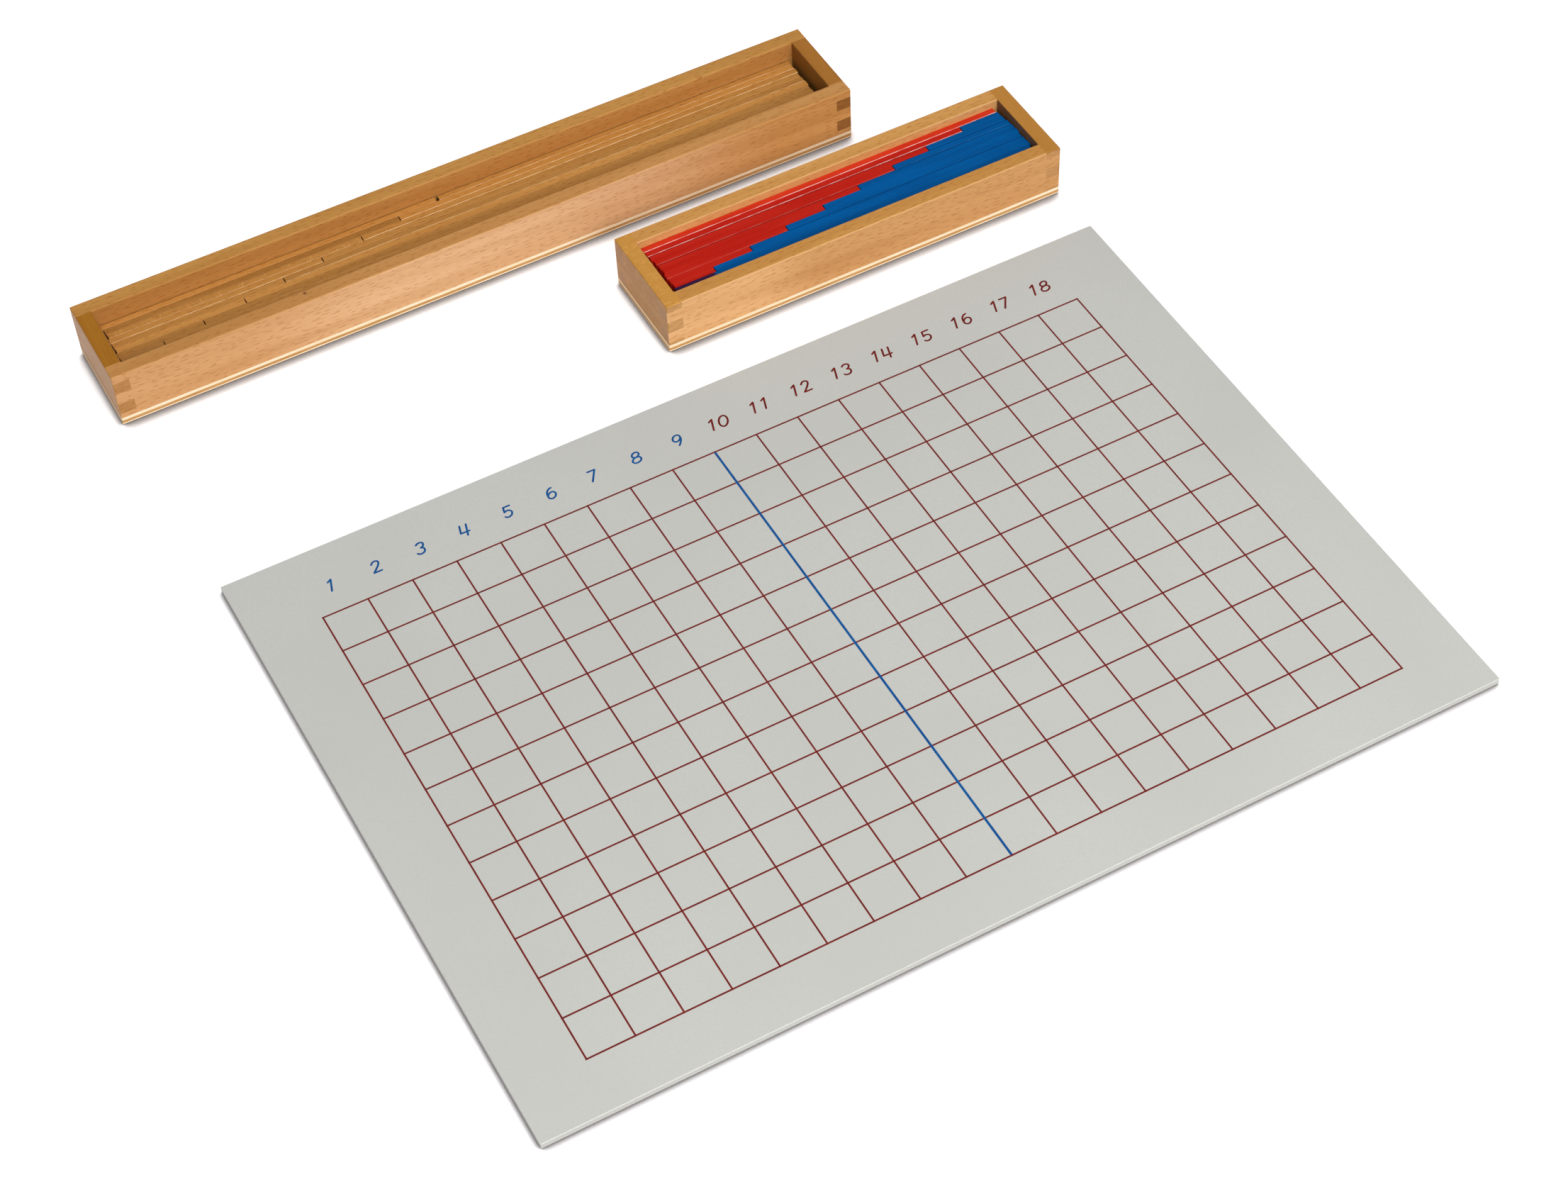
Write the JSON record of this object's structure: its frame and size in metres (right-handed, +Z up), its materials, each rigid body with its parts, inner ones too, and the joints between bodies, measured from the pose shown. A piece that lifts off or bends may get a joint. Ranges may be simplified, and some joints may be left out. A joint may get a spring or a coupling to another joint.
{
  "type": "subtraction strip board",
  "caption": "Teaching board with a printed grid of squares, a long finger-jointed beech box of plain wooden strips and a short one of red and blue strips.",
  "frame": {"origin": "on the table, under the middle of the whole set", "axes": "+Z up, +X along the row of numbers, +Y from the front of the board towards the numbers and the boxes"},
  "size_m": [0.422, 0.459, 0.0285],
  "materials": {
    "board_laminate": "pale warm grey laminate, satin",
    "ink_red": "dark red printing ink",
    "ink_blue": "blue printing ink",
    "beech": "steamed beech with short dark flecks, satin varnish",
    "plywood": "three-ply plywood, satin varnish, plies show at the edges",
    "lacquer_red": "red gloss lacquer on wood",
    "lacquer_blue": "blue gloss lacquer on wood"
  },
  "bodies": {
    "root": {"board": "board_laminate", "grid_print": "ink_red", "nine_line_print": "ink_blue", "long_box_bottom": "plywood", "long_box_front": "beech", "long_box_back": "beech", "long_box_left_end": "beech", "long_box_right_end": "beech", "short_box_bottom": "plywood", "short_box_front": "beech", "short_box_back": "beech", "short_box_left_end": "beech", "short_box_right_end": "beech", "plain_strip_01": "beech", "plain_strip_02": "beech", "plain_strip_03": "beech", "plain_strip_04": "beech", "plain_strip_05": "beech", "plain_strip_06": "beech", "plain_strip_07": "beech", "plain_strip_08": "beech", "plain_strip_09": "beech", "plain_strip_10": "beech", "plain_strip_11": "beech", "plain_strip_12": "beech", "plain_strip_13": "beech", "plain_strip_14": "beech", "plain_strip_15": "beech", "plain_strip_16": "beech", "plain_strip_17": "beech", "red_strip_01": "lacquer_red", "red_strip_02": "lacquer_red", "red_strip_03": "lacquer_red", "red_strip_04": "lacquer_red", "red_strip_05": "lacquer_red", "red_strip_06": "lacquer_red", "red_strip_07": "lacquer_red", "red_strip_08": "lacquer_red", "red_strip_09": "lacquer_red", "blue_strip_01": "lacquer_blue", "blue_strip_02": "lacquer_blue", "blue_strip_03": "lacquer_blue", "blue_strip_04": "lacquer_blue", "blue_strip_05": "lacquer_blue", "blue_strip_06": "lacquer_blue", "blue_strip_07": "lacquer_blue", "blue_strip_08": "lacquer_blue", "blue_strip_09": "lacquer_blue"}
  },
  "joints": []
}
